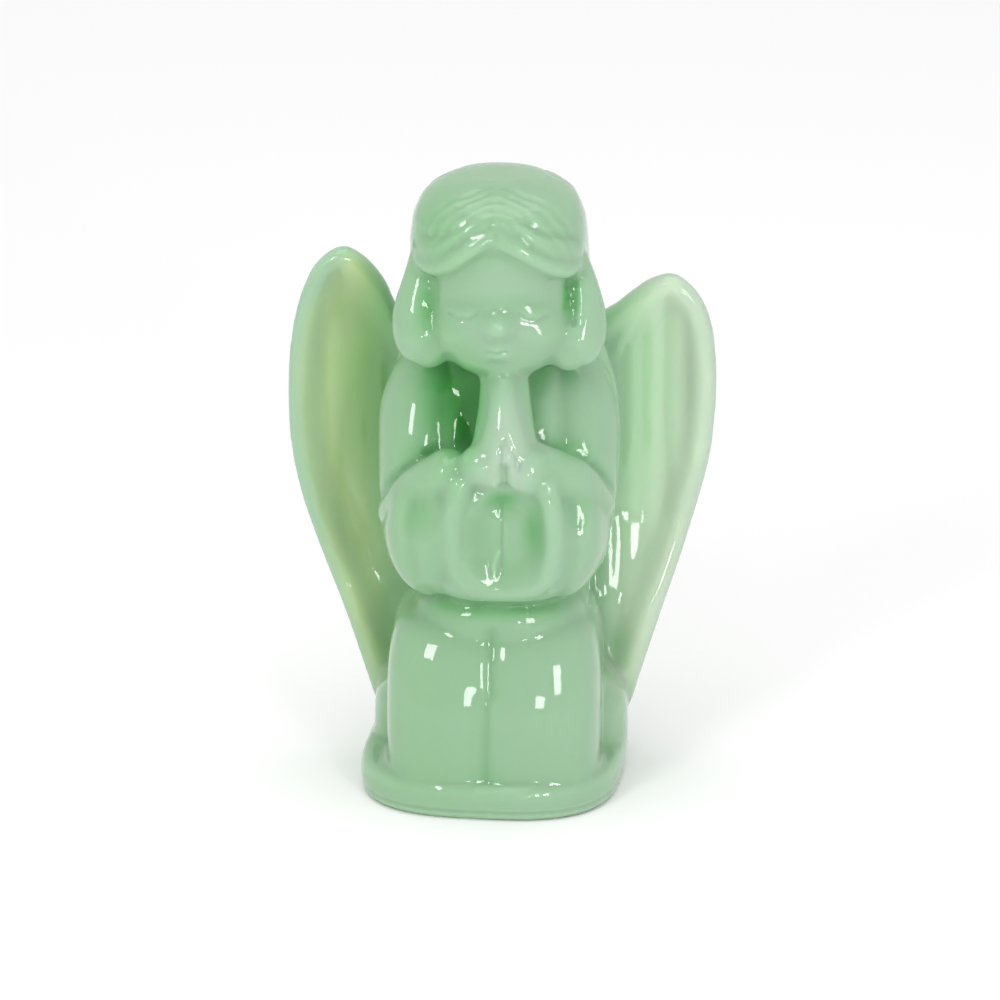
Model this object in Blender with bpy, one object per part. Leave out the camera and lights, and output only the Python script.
"""Praying angel figurine in pressed jade glass: one solid piece, facing -Y, on its own low plinth.

Run it with: blender --background --python part.py
Metres, +Z up. The origin is at the centre of the underside.

The angel's free form is given in units of which CROWN make up FIGURE_HEIGHT: x to the viewer's right,
y to the back and z above the plinth's top. Each mass is a loft through a few stations. The masses are
fused by a voxel remesh and softened, as hot glass softens in its mould. The relief is then cut or
raised by strokes along short paths and by oval hollows and mounds, and the surface is thinned to a
faceted solid.
"""

import math

import bmesh
import bpy
import numpy as np
from mathutils import Euler, Vector

FIGURE_HEIGHT = 0.0987  # from the plinth's top to the crown of the head
CROWN = 98.7  # the crown's height in the figure's own units
FIGURE_SETBACK = 0.0024  # the figure's own axis stands this far behind the plinth's centre
PLINTH_HEIGHT = 0.0056
PLINTH_WIDTH = 0.0430
PLINTH_DEPTH = 0.0436
PLINTH_EDGE_ROUND = 0.0012  # radius of the rounded upper and lower edges
PLINTH_TURN = math.radians(-4)  # the plinth sits slightly turned under the figure
PLINTH_SHIFT = -0.0008  # and a little to the left of it
FOOT_LINE_HEIGHT = 0.0016  # a shallow line runs round the plinth at this height
FOOT_LINE_DEPTH = 0.0003
FOOT_LINE_WIDTH = 0.0005
WING_SPAN = 0.0708
WING_THICKNESS = 0.0030
WING_RIM_RADIUS = 0.0021  # the rim is thicker than the blade inside it
FEATHER_RELIEF = 0.0002
FEATHER_PITCH = 0.0036
FEATHER_START = 0.0208  # the innermost feather's ridge is this far from the figure's axis

GLASS_COLOUR = (0.30, 0.48, 0.30, 1.0)
GLASS_ROUGHNESS = 0.05
FRONT_STRANDS = 6
BACK_STRANDS = 5
VOXEL = 0.0006
SOFTENING_ROUNDS = 6
MOST_TRIANGLES = 9800

UNIT = FIGURE_HEIGHT / CROWN


def at(x, y, z):
    """A point of the figure, in metres, from the figure's own units."""
    return Vector((x * UNIT, y * UNIT + FIGURE_SETBACK, PLINTH_HEIGHT + z * UNIT))


def spline(rows, steps):
    """Rows of numbers joined by a Catmull-Rom spline, with this many steps between neighbours."""
    rows = np.array(rows, float)
    padded = np.vstack([2 * rows[0] - rows[1], rows, 2 * rows[-1] - rows[-2]])
    made = []
    for i in range(len(rows) - 1):
        a, b, c, d = padded[i : i + 4]
        for t in np.linspace(0, 1, steps, endpoint=False):
            square = 2 * a - 5 * b + 4 * c - d
            cube = 3 * (b - c) + d - a
            made.append(b + 0.5 * (t * (c - a) + t * t * square + t**3 * cube))
    made.append(rows[-1])
    return np.array(made)


def signed_power(value, power):
    return math.copysign(abs(value) ** power, value)


def loft(rings):
    """A closed mesh through rings of equally many points, with its two ends capped."""
    bm = bmesh.new()
    loops = [[bm.verts.new(point) for point in ring] for ring in rings]
    count = len(loops[0])
    for lower, upper in zip(loops, loops[1:]):
        for i in range(count):
            j = (i + 1) % count
            bm.faces.new((lower[i], lower[j], upper[j], upper[i]))
    bm.faces.new(reversed(loops[0]))
    bm.faces.new(loops[-1])
    bmesh.ops.recalc_face_normals(bm, faces=bm.faces)
    return bm


def column(stations, squareness=2.0, points=48, steps=4):
    """An upright mass. Each station is (z, centre x, centre y, half width, half depth)."""
    rings = []
    for z, centre_x, centre_y, width, depth in spline(stations, steps):
        ring = []
        for k in range(points):
            angle = 2 * math.pi * k / points
            across = signed_power(math.cos(angle), 2 / squareness) * max(width, 0.01)
            along = signed_power(math.sin(angle), 2 / squareness) * max(depth, 0.01)
            ring.append(at(centre_x + across, centre_y + along, z))
        rings.append(ring)
    return loft(rings)


def limb(stations, points=24, steps=5, up=(0, 0, 1)):
    """A rounded limb along a path. Each station is (x, y, z, half size across, half size along up)."""
    rows = spline(stations, steps)
    centres = [Vector(row[:3]) for row in rows]
    last = len(rows) - 1
    rings = []
    for i, centre in enumerate(centres):
        ahead = (centres[min(i + 1, last)] - centres[max(i - 1, 0)]).normalized()
        side = ahead.cross(Vector(up)).normalized()
        lift = side.cross(ahead)
        ring = []
        for k in range(points):
            angle = 2 * math.pi * k / points
            out = side * (rows[i][3] * math.cos(angle)) + lift * (rows[i][4] * math.sin(angle))
            ring.append(at(*(centre + out)))
        rings.append(ring)
    return loft(dome(rings[0], rows[0], centres[0] - centres[1])[::-1] + rings
                + dome(rings[-1], rows[-1], centres[-1] - centres[-2]))


def dome(ring, station, outward):
    """The shrinking rings that close a limb's end with a rounded cap."""
    centre = at(*station[:3])
    reach = outward.normalized() * (min(station[3], station[4]) * UNIT)
    rings = []
    for step in (0.35, 0.65, 0.87, 0.985):
        shrink = math.sqrt(1 - step * step)
        rings.append([centre + reach * step + (point - centre) * shrink for point in ring])
    return rings


def ball(centre, half_sizes, squareness=2.0):
    """An ellipsoid by its centre and half sizes. Squareness above 2 makes it boxier."""
    bm = bmesh.new()
    bmesh.ops.create_uvsphere(bm, u_segments=48, v_segments=32, radius=1)
    for vertex in bm.verts:
        size = sum(abs(c) ** squareness for c in vertex.co) ** (1 / squareness)
        offset = [c / size * half for c, half in zip(vertex.co, half_sizes)]
        vertex.co = at(*(base + off for base, off in zip(centre, offset)))
    return bm


def plinth_ring(z, inset, points=96):
    """The plinth's outline at a height, drawn in by an inset."""
    squareness = 2.9
    ring = []
    for k in range(points):
        angle = 2 * math.pi * k / points
        point = Vector((
            signed_power(math.cos(angle), 2 / squareness) * (PLINTH_WIDTH / 2 - inset),
            signed_power(math.sin(angle), 2 / squareness) * (PLINTH_DEPTH / 2 - inset),
            z,
        ))
        point.rotate(Euler((0, 0, PLINTH_TURN)))
        ring.append(point + Vector((PLINTH_SHIFT, 0, 0)))
    return ring


def plinth():
    """The low rounded slab that the figure kneels on."""
    corner_steps = 5
    levels = []
    for k in range(corner_steps + 1):
        angle = math.pi / 2 * k / corner_steps
        levels.append((PLINTH_EDGE_ROUND * (1 - math.sin(angle)), PLINTH_EDGE_ROUND * (1 - math.cos(angle))))
    rings = [plinth_ring(drop, inset) for inset, drop in levels]
    rings += [plinth_ring(PLINTH_HEIGHT - drop, inset) for inset, drop in reversed(levels)]
    return loft(rings)


# Each wing's outline, as shares of half the span and heights in the figure's units: the outer edge from the
# foot up to the tip, then the leading edge down to the shoulder and the root down the spine.
WING_OUTLINES = {
    -1: [
        (0.605, 3.5), (0.659, 9.3), (0.751, 18.8), (0.855, 28.2), (0.949, 37.8), (1.001, 46.9),
        (1.013, 56.2), (0.999, 64.2), (0.957, 71.6), (0.878, 77.8), (0.759, 80.6), (0.649, 78.6),
        (0.56, 74.6), (0.486, 69.2), (0.297, 62.2), (0.099, 54.3), (0.059, 39.7), (0.059, 20.7),
        (0.198, 3.5),
    ],
    1: [
        (0.605, 3.5), (0.654, 9.3), (0.739, 18.8), (0.831, 28.2), (0.907, 37.3), (0.96, 45.5),
        (0.984, 53.8), (0.987, 61.2), (0.964, 68.5), (0.902, 73.6), (0.793, 76.8), (0.674, 75.8),
        (0.58, 73.3), (0.496, 70.8), (0.297, 66.2), (0.099, 56.2), (0.059, 39.7), (0.059, 20.7),
        (0.198, 3.5),
    ],
}
SHOULDER_POINT = 14  # the outline's point at the shoulder, where the thick rim ends
OUTLINE_STEPS = 6  # steps of the curve between two points of the outline
RINGS = 18  # rings of points from a wing's middle to its edge
WING_SWEEPS = {  # the wings lean back as they rise: heights and the places in y there
    -1: [(0, 6.0), (15, 7.8), (28, 9.8), (40, 11.5), (52, 12.5), (65, 12.8), (80, 11.9)],
    1: [(0, 6.0), (14, 6.9), (23, 7.9), (35, 11.7), (46, 12.6), (56, 12.9), (65, 12.8), (80, 11.9)],
}
WING_FLARES = {-1: 0.0, 1: 0.24}  # how far the lower part of each wing turns back towards its edge


def wing(side):
    """One wing: a cupped blade with a thick rounded rim and long upright feather flutes."""
    half_span = WING_SPAN / 2 / UNIT
    outline = [(share * half_span, z) for share, z in WING_OUTLINES[side]]
    outline = spline(outline + outline[:1], OUTLINE_STEPS)[:-1]
    rim_edge = outline[: SHOULDER_POINT * OUTLINE_STEPS]
    inner_x = np.interp(outline[:, 1], (2, 30, 60, 82), (10, 13, 17, 26))
    spine = np.column_stack([inner_x, np.clip(outline[:, 1], 10, 74)])
    blade, rim = WING_THICKNESS / UNIT / 2, WING_RIM_RADIUS / UNIT
    flute, pitch, first = FEATHER_RELIEF / UNIT, FEATHER_PITCH / UNIT, FEATHER_START / UNIT
    leaning = spline(WING_SWEEPS[side], 6).T
    front, back = [], []
    for share in np.sin(np.linspace(0.03, math.pi / 2, RINGS)):
        points = spine + (outline - spine) * share
        reach = np.linalg.norm(outline - spine, axis=1) * (1 - share)
        gap = np.linalg.norm(points[:, None] - rim_edge[None], axis=2).min(axis=1)
        edge = np.minimum(gap, reach + 1e-6)
        rounding = np.sqrt(np.clip(1 - np.clip(1 - edge / rim, 0, 1) ** 2, 0, 1))
        hollow = 1 - np.exp(-((np.clip(gap - rim, 0, None) / 2.6) ** 2))
        half = (rim + (blade - rim) * hollow) * rounding
        fade = np.clip((points[:, 1] - 12) / 25, 0, 1) * hollow
        waves = flute * np.cos(2 * math.pi * (points[:, 0] - first) / pitch) * fade
        cup = np.sin(np.clip(points[:, 0] / half_span, 0, 1) * math.pi)
        flare = WING_FLARES[side] * np.clip(points[:, 0] - 17, 0, None)
        flare *= np.exp(-(((points[:, 1] - 28) / 17) ** 2))
        middle = np.interp(points[:, 1], *leaning) + 2.0 * cup + 1.2 * hollow + flare
        rows = list(zip(points, middle, half, waves))
        front.append([at(side * x, m - h - w, z) for (x, z), m, h, w in rows])
        back.append([at(side * x, m + h - w, z) for (x, z), m, h, w in rows])
    return loft(front + back[::-1][1:])


def lower_body():
    """The low block behind the knees, the robe above it, the lap and the knees in front."""
    block_and_robe = column([
        (-2, 0, 4.2, 21.0, 14.2),
        (3, 0, 4.2, 21.0, 14.2),
        (6.5, 0, 4.2, 20.7, 14.0),
        (9.5, 0, 4.2, 18.8, 13.8),
        (13, 0, 4.1, 16.6, 13.6),
        (20, 0, 3.8, 15.0, 13.4),
        (30, 0, 3.4, 14.6, 13.0),
        (40, 0, 2.8, 14.8, 12.6),
        (50, 0, 2.2, 14.4, 12),
    ], squareness=2.6)
    lap = column([
        (14, 0.3, -3, 14, 15),
        (22, 0.4, -3, 15.0, 15.0),
        (25.6, 0.5, -3, 14.4, 14.9),
        (27.6, 0.5, -2.9, 13.6, 14.6),
        (28.9, 0.5, -2.6, 12.4, 13.8),
        (30.0, 0.4, -1.8, 12.4, 13.6),
        (34, 0, -1, 13, 12.4),
        (40, 0, -1, 13, 12),
    ], squareness=2.6)
    knees = column([
        (-2, -0.3, -6.4, 17.5, 16.4),
        (6, -0.3, -6.3, 17.6, 16.3),
        (12, -0.3, -6.0, 17.6, 16.0),
        (17, -0.3, -5.4, 17.5, 15.4),
        (21, -0.3, -4.6, 17.0, 14.6),
        (24, -0.3, -3.7, 15.9, 13.6),
        (26.2, -0.2, -2.4, 13.2, 12.2),
    ], squareness=4.0)
    return [block_and_robe, lap, knees]


HANDS_X = 1.7  # the joined hands are a little to the viewer's right of the axis
CUFF_OFFSET = 8.1  # each cuff's edge, from the hands' middle


def torso():
    """The chest, the glass behind the hands and the front of the sleeves between the cuffs."""
    chest = column([
        (30, 0, 2, 15, 13.4),
        (40, 0, 2.2, 15.5, 13),
        (52, 0, 2.6, 15.5, 11.2),
        (60, 0, 2.8, 14.5, 10.2),
        (65, 0, 3, 11.0, 9.0),
        (69, 0, 2, 8.0, 7.5),
        (78, 0, 0, 7, 7),
    ], squareness=2.3)
    behind_hands = column([
        (42, HANDS_X, -8, 5, 8),
        (50, HANDS_X, -8, 3.8, 8.5),
        (58, HANDS_X, -7, 3.4, 7.5),
        (64, HANDS_X, -5, 3.2, 7),
        (68, HANDS_X, -3, 3, 6),
    ])
    between_sleeves = column([
        (29.8, 1, -9, 9, 7.5),
        (31.6, 1, -9.6, 11.0, 10.8),
        (34.5, 1, -9.6, 12, 12.2),
        (40, 1, -9.6, 12.2, 12.6),
        (46, 1, -9.6, 12, 12.2),
        (50, 1, -9.4, 10, 10.5),
        (53, 1, -9, 7, 8.5),
    ], squareness=2.8)
    return [chest, behind_hands, between_sleeves]


def hands():
    """The two joined hands: the palms, the ridge of the fingers and the two wrists."""
    palms = limb([
        (HANDS_X, -16.6, 50.6, 6.7, 3.6),
        (HANDS_X, -16.8, 53.4, 6.3, 3.9),
        (HANDS_X, -15.4, 58.0, 5.2, 3.8),
        (HANDS_X - 0.1, -13.4, 62.8, 4.4, 3.2),
        (HANDS_X - 0.3, -11.4, 66.8, 4.0, 2.6),
    ], up=(0, 1, 0))
    fingers = limb([
        (HANDS_X, -18.8, 53.0, 5.6, 2.8),
        (HANDS_X, -18.2, 57.5, 4.2, 3.0),
        (HANDS_X - 0.1, -16.4, 62.2, 2.8, 2.8),
        (HANDS_X - 0.3, -14.2, 66.4, 2.2, 2.2),
    ], up=(0, 1, 0))
    wrists = [ball((-1.8, -18.3, 54.2), (3.8, 3.4, 3.6)), ball((5.5, -18.3, 53.0), (4.0, 3.4, 4.2))]
    return [palms, fingers, *wrists]


def arm(side):
    """One upper arm with the web that joins it to the wing, the hanging sleeve, the forearm and the cuff."""
    # The two arms aren't held alike.
    raised, forward, inner = (2.2, 2.4, 6.6) if side > 0 else (0.0, -1.2, -7.8)
    cuff = HANDS_X + side * CUFF_OFFSET
    upper_arm = limb([
        (side * 11.0, 1.5, 60.4, 7.4, 7.4),
        (side * 12.5, -1.0, 57.0, 7.2, 7.6),
        (side * 13.0, -3.6, 51, 6.7, 7.8),
        (side * 12.9, -5.5, 45.5, 6.6, 7.4),
    ], up=(0, 1, 0))
    inner_side = limb([
        (inner - side * 0.4, 0.5 - forward, 62.0, 5.4, 5.6),
        (inner, -2.6 - forward, 57.0, 5.4, 6.6),
        (inner, -5.2 - forward, 50.0, 5.2, 6.6),
    ], up=(0, 1, 0))
    sleeve = limb([
        (side * 13.8, -5.5, 42.8, 5.4, 7.4),
        (side * 11.8, -9.0, 41.6, 7.6, 10.4),
        (side * 9.6, -12.2, 41.4, 9.0, 11.9),
        (side * 8.6, -13.2, 41.4, 8.2, 11.4),
    ], points=32)
    forearm = limb([
        (side * 15.2, -8.6, 43.0 + raised, 4.2, 4.8),
        (side * 12.0, -13.2, 47.4 + raised, 4.6, 5.0),
        (side * 7.4, -16.0, 52.2 + raised / 2, 3.8, 4.4),
    ], up=(0, 1, 0))
    cuff_edge = limb([
        (cuff - side * 1.0, -19.6, 51.0, 1.9, 1.8),
        (cuff, -20.0, 45, 2.1, 2.0),
        (cuff - side * 0.2, -20.0, 39, 2.1, 2.0),
        (cuff - side * 2.2, -19.7, 34.8, 2.0, 2.0),
        (cuff - side * 5.0, -19.5, 33.4, 1.8, 2.0),
    ], up=(0, 1, 0))
    web = limb([
        (side * 14.8, 7.0, 64.5, 2.4, 6.8),
        (side * 16.6, 7.6, 57, 2.4, 7.4),
        (side * 16.2, 8.2, 46, 2.2, 7.0),
        (side * 14.0, 8.6, 35, 1.8, 5.8),
    ], up=(0, 1, 0))
    return [upper_arm, inner_side, sleeve, forearm, cuff_edge, web]


FACE_X = 0.6
EYE_OFFSET = 5.9
EYE_HEIGHT = 79.0
NOSE_DROP = 2.2  # the nose's middle is this far under the eyes
MOUTH_HEIGHT = 72.7
SOCKET_DEPTH = 0.8
LID_HEIGHT = 0.5
NOSE_HEIGHT = 1.6
LIP_HEIGHT = 0.6


def face():
    """The ground form of a calm child's face: forehead, jaw, chin and cheeks."""
    made = [
        ball((FACE_X, -4.6, 79.3), (12.2, 11.2, 12.4), 2.15),
        ball((FACE_X, -5.2, 86.0), (10.6, 10.2, 10.4), 2.2),
        ball((FACE_X + 0.1, -7.8, 72.7), (9.4, 7.9, 6.3), 2.25),
        ball((FACE_X + 0.5, -9.6, 70.2), (5.4, 5.2, 3.4)),
    ]
    for side in (-1, 1):
        made.append(ball((FACE_X + side * EYE_OFFSET, -10.2, 74.8), (4.8, 5.2, 4.4)))
    return made


def hair():
    """The cap of hair, the fringe's two sweeps with their rolled edge and the locks beside the cheeks."""
    cap = column([
        (66, 0, 4.0, 9, 6.5),
        (69, 0, 4.5, 12.5, 9.0),
        (75, 0, 4.0, 14.4, 10.8),
        (80.6, 0, 3.0, 14.6, 12.2),
        (84.0, -0.1, 1.6, 14.6, 13.2),
        (87.6, -0.1, -0.3, 14.5, 13.9),
        (90.4, 0, -1.4, 14.2, 14.1),
        (92.6, 0, -2.0, 13.7, 13.9),
        (95.7, 0.1, -2.2, 12.0, 11.8),
        (97.9, 0, -2.0, 8.2, 8.2),
        (CROWN, 0, -2.0, 4.4, 4.4),
    ], squareness=2.25)
    made = [cap, ball((12.9, -9.2, 72.9), (2.9, 3.0, 3.1))]
    for side in (-1, 1):
        sweep = limb([
            (side * 1.0, -13.4, 93.4, 2.0, 2.2),
            (0.3 + side * 4.6, -13.3, 91.4, 2.5, 2.6),
            (0.4 + side * 8.6, -11.4, 89.0, 2.7, 2.8),
            (0.3 + side * 11.2, -7.4, 87.8, 2.3, 2.6),
            (side * 12.2, -1.6, 88.4, 2.0, 2.4),
        ])
        rolled_edge = limb([
            (-0.5 + side * 0.5, -15.2, 91.5, 0.9, 1.1),
            (0.1 + side * 4.2, -15.4, 89.7, 1.1, 1.3),
            (0.6 + side * 7.8, -14.2, 87.2, 1.2, 1.5),
            (0.7 + side * 10.4, -11.8, 85.6, 1.3, 1.5),
            (0.3 + side * 12.3, -8.4, 85.4, 1.2, 1.5),
            (side * 13.1, -4.6, 86.2, 1.0, 1.4),
            (-0.1 + side * 13.2, -0.6, 87.4, 0.9, 1.2),
        ])
        flare = 0.4 + side * 13.0
        lock = limb([
            (side * 11.6, -4.0, 86.2, 2.6, 2.6),
            (flare - side * 0.6, -6.2, 81.2, 3.6, 3.3),
            (flare, -7.8, 76.4, 4.4, 3.9),
            (flare - side * 0.6, -8.8, 72.8, 4.7, 4.2),
            (flare - side * 2.0, -9.2, 71.2, 3.8, 3.4),
        ], up=(0, 1, 0))
        made += [sweep, rolled_edge, lock]
    return made


def fused(meshes):
    """The mesh of every mass together, fused by a voxel remesh and softened."""
    whole = bpy.data.meshes.new("masses")
    bm = bmesh.new()
    for mass in meshes:
        piece = bpy.data.meshes.new("mass")
        mass.to_mesh(piece)
        mass.free()
        bm.from_mesh(piece)
        bpy.data.meshes.remove(piece)
    bm.to_mesh(whole)
    bm.free()
    block = bpy.data.objects.new("masses", whole)
    bpy.context.scene.collection.objects.link(block)
    remesh = block.modifiers.new("Fuse", "REMESH")
    remesh.mode = "VOXEL"
    remesh.voxel_size = VOXEL
    remesh.use_smooth_shade = True
    soften = block.modifiers.new("Soften", "SMOOTH")
    soften.factor = 0.5
    soften.iterations = SOFTENING_ROUNDS
    graph = bpy.context.evaluated_depsgraph_get()
    surface = bpy.data.meshes.new_from_object(block.evaluated_get(graph))
    bpy.data.objects.remove(block)
    return surface


def points_of(mesh):
    """The mesh's points in the figure's own units, and its normals."""
    count = len(mesh.vertices)
    points, normals = np.empty(count * 3), np.empty(count * 3)
    mesh.vertices.foreach_get("co", points)
    mesh.vertex_normals.foreach_get("vector", normals)
    points = (points.reshape(-1, 3) - np.array(at(0, 0, 0))) / UNIT
    return points, normals.reshape(-1, 3)


def distance_to_path(points, path):
    """The distance from each point to a path of straight runs, and the share of the path before it."""
    nearest, along = np.full(len(points), np.inf), np.zeros(len(points))
    for i, (start, end) in enumerate(zip(path, path[1:])):
        run = end - start
        share = np.clip((points - start) @ run / max(run @ run, 1e-9), 0, 1)
        away = np.linalg.norm(points - start - share[:, None] * run, axis=1)
        closer = away < nearest
        nearest[closer] = away[closer]
        along[closer] = (i + share[closer]) / (len(path) - 1)
    return nearest, along


def stroke(mesh, path, width, height, fading=1.0):
    """Raises the surface along a path of (x, y, z) laid on it, or cuts it where the height is negative.

    The fading is the share of the height that is left at the path's end.
    """
    points, normals = points_of(mesh)
    path = spline(path, 6)
    path = np.array([points[np.argmin(((points - place) ** 2).sum(axis=1))] for place in path])
    near = np.all((points > path.min(axis=0) - 2 * width) & (points < path.max(axis=0) + 2 * width), axis=1)
    index = np.flatnonzero(near)
    away, along = distance_to_path(points[index], path)
    fall = np.exp(-((away / width) ** 2)) * (1 - (1 - fading) * along**2)
    points[index] += normals[index] * (height * fall)[:, None]
    write_points(mesh, points)


def soften(mesh, centre, half_sizes, rounds):
    """Smooths an oval region of the figure's front, with soft borders."""
    points, _ = points_of(mesh)
    edges = np.empty(len(mesh.edges) * 2, int)
    mesh.edges.foreach_get("vertices", edges)
    a, b = edges.reshape(-1, 2).T
    count = np.bincount(edges, minlength=len(points)) + 1
    offset = (points[:, [0, 2]] - centre) / half_sizes
    share = np.exp(-((offset**4).sum(axis=1))) * (points[:, 1] < -9)
    for _ in range(rounds):
        for axis in range(3):
            values = points[:, axis]
            total = values + np.bincount(a, values[b], len(points)) + np.bincount(b, values[a], len(points))
            points[:, axis] += (total / count - values) * share
    write_points(mesh, points)


def dish(mesh, centre, half_sizes, depth, power):
    """Presses an oval hollow into the figure's front, or raises a mound where the depth is negative.

    It is soft at a power of 1 and steep-walled above it.
    """
    points, normals = points_of(mesh)
    offset = (points[:, [0, 2]] - centre) / half_sizes
    fall = np.exp(-((offset**2).sum(axis=1) ** power))
    points[:, 1] += depth * fall * ((normals[:, 1] < 0) & (points[:, 1] < -10))
    write_points(mesh, points)


def write_points(mesh, points):
    moved = points * UNIT + np.array(at(0, 0, 0))
    mesh.vertices.foreach_set("co", moved.astype(np.float32).ravel())
    mesh.update()


def carve_hair(mesh):
    """Cuts the strands, the parting and the hollows beside the cheeks."""
    for side in (-1, 1):
        for k in range(FRONT_STRANDS):
            lean = k / (FRONT_STRANDS - 1)
            start = (side * 0.8, -15.8 + 7.5 * lean, 94.0 + 3.6 * lean)
            middle = (side * (4.8 + lean), -15.5 + 6.0 * lean, 91.2 + 3.0 * lean)
            end = (side * (9.2 + 3.6 * lean), -13.4 + 5.0 * lean, 87.0 + 1.6 * lean)
            stroke(mesh, [start, middle, end], 0.6, -0.3, fading=0.2)
        for k in range(BACK_STRANDS):
            turn = math.radians(8 + 74 * k / (BACK_STRANDS - 1))
            out, back = side * math.sin(turn), math.cos(turn)
            path = [
                (8 * out, 6.5 * back, 96),
                (12 * out, 9 * back, 92),
                (15 * out, 3 + 11 * back, 83),
                (14.4 * out, 4 + 10 * back, 75),
                (11.6 * out, 4.5 + 8 * back, 69.5),
            ]
            stroke(mesh, path, 0.8, -0.35)
    stroke(mesh, [(0, -17, 93), (0, -14.5, 95.6), (0, -8, 98)], 0.7, -0.3, fading=0.1)
    stroke(mesh, [(-10.6, -11, 82), (-10.6, -12, 77), (-9.6, -12, 73)], 1.2, -0.2)
    stroke(mesh, [(12.0, -9, 83), (12.2, -10, 80), (12.6, -11, 76.6)], 0.9, -1.0)


def carve_face(mesh):
    """Smooths the face's ground form, then raises and cuts its features."""
    x, z = FACE_X, EYE_HEIGHT
    soften(mesh, (x, 77.5), (9.4, 8.0), 26)
    for side in (-1, 1):
        eye = x + side * EYE_OFFSET
        dish(mesh, (eye - side * 0.4, z + 0.6), (4.3, 2.4), SOCKET_DEPTH, 1.2)
        dish(mesh, (eye, z - 0.1), (2.5, 1.4), -LID_HEIGHT, 1.2)
        stroke(mesh, [(eye - 2.5, -14, z - 0.5), (eye, -15.4, z - 1.2), (eye + 2.5, -14, z - 0.5)], 0.5, -0.3)
    dish(mesh, (x, z - NOSE_DROP), (2.1, 2.1), -NOSE_HEIGHT, 1.3)
    x, z = x - 0.2, MOUTH_HEIGHT
    dish(mesh, (x, z + 0.1), (2.0, 1.4), -LIP_HEIGHT, 1.1)
    stroke(mesh, [(x - 1.4, -15.4, z + 0.1), (x, -15.8, z - 0.1), (x + 1.4, -15.4, z + 0.1)], 0.45, -0.35)
    dish(mesh, (x, z - 2.2), (2.2, 0.7), 0.25, 1.0)


def carve_arms(mesh):
    """Cuts the cuffs' hollow, the palms' line, the folds under the upper arms and the sleeves' dimples."""
    x = HANDS_X
    dish(mesh, (x + 0.2, 42.0), (5.9, 7.7), 2.4, 2.6)
    dish(mesh, (x + 5.0, 43.2), (1.6, 5.4), 0.6, 1.2)
    dish(mesh, (x, 47.6), (3.6, 1.6), 0.8, 1.2)
    stroke(mesh, [(x - 0.3, -20, 48), (x - 0.3, -20, 42), (x - 0.3, -20, 36)], 0.5, -0.3)
    stroke(mesh, [(x, -22, 59), (x, -22.2, 55), (x - 0.1, -21.6, 50.4)], 0.6, -0.4)
    stroke(mesh, [(x, -22, 55), (x - 0.1, -21.6, 50.2)], 0.8, -0.8)
    left = [(-4.8, -13, 57.4), (-9.1, -12, 53.4), (-12.5, -10, 49.3), (-17.0, -7.5, 45.2)]
    right = [(7.2, -13, 55.4), (12.0, -12, 54.2), (15.4, -10, 50.6), (18.4, -7, 45.0)]
    for fold in (left, right):
        stroke(mesh, fold, 0.9, -0.7)
    dish(mesh, (-12.1, 45.8), (2.5, 3.6), 0.8, 1.1)
    dish(mesh, (13.7, 46.3), (2.1, 2.8), 0.7, 1.1)


KNEE_VALLEY_DEPTH = 0.5
KNEE_LINE_DEPTH = 0.45


def carve_base(mesh):
    """Cuts the valley between the knees, the line in it and the line round the plinth's foot."""
    knee_line = [(-0.65, -22.6, 1), (-0.65, -22.4, 8), (-0.6, -21.2, 15), (-0.4, -19.4, 20), (0, -17, 24.6)]
    stroke(mesh, knee_line, 3.0, -KNEE_VALLEY_DEPTH)
    stroke(mesh, knee_line, 0.9, -KNEE_LINE_DEPTH)
    ground = at(0, 0, 0)
    outline = plinth_ring(FOOT_LINE_HEIGHT, 0, points=32)
    foot_line = [tuple((point - ground) / UNIT) for point in outline + outline[:1]]
    stroke(mesh, foot_line, FOOT_LINE_WIDTH / UNIT, -FOOT_LINE_DEPTH / UNIT)


def settle(mesh):
    """Flattens the underside, which the softening leaves a hair's breadth off the ground."""
    points, _ = points_of(mesh)
    ground = -PLINTH_HEIGHT / UNIT
    points[points[:, 2] < ground + 0.2, 2] = ground
    write_points(mesh, points)


def glass():
    """Jade-green opal glass."""
    made = bpy.data.materials.new("jade_glass")
    made.use_nodes = True
    shader = made.node_tree.nodes["Principled BSDF"]
    shader.inputs["Base Color"].default_value = GLASS_COLOUR
    shader.inputs["Roughness"].default_value = GLASS_ROUGHNESS
    return made


def main():
    for old in list(bpy.data.objects):
        bpy.data.objects.remove(old, do_unlink=True)
    body = [*lower_body(), *torso(), *hands(), *arm(-1), *arm(1)]
    surface = fused([plinth(), wing(-1), wing(1), *body, *face(), *hair()])
    carve_hair(surface)
    carve_face(surface)
    carve_arms(surface)
    carve_base(surface)
    settle(surface)
    surface.name = "praying_angel"
    surface.materials.append(glass())
    figure = bpy.data.objects.new("praying_angel", surface)
    bpy.context.scene.collection.objects.link(figure)
    thin = figure.modifiers.new("Thin", "DECIMATE")
    thin.ratio = MOST_TRIANGLES / (2 * len(surface.polygons))


if __name__ == "__main__":
    main()
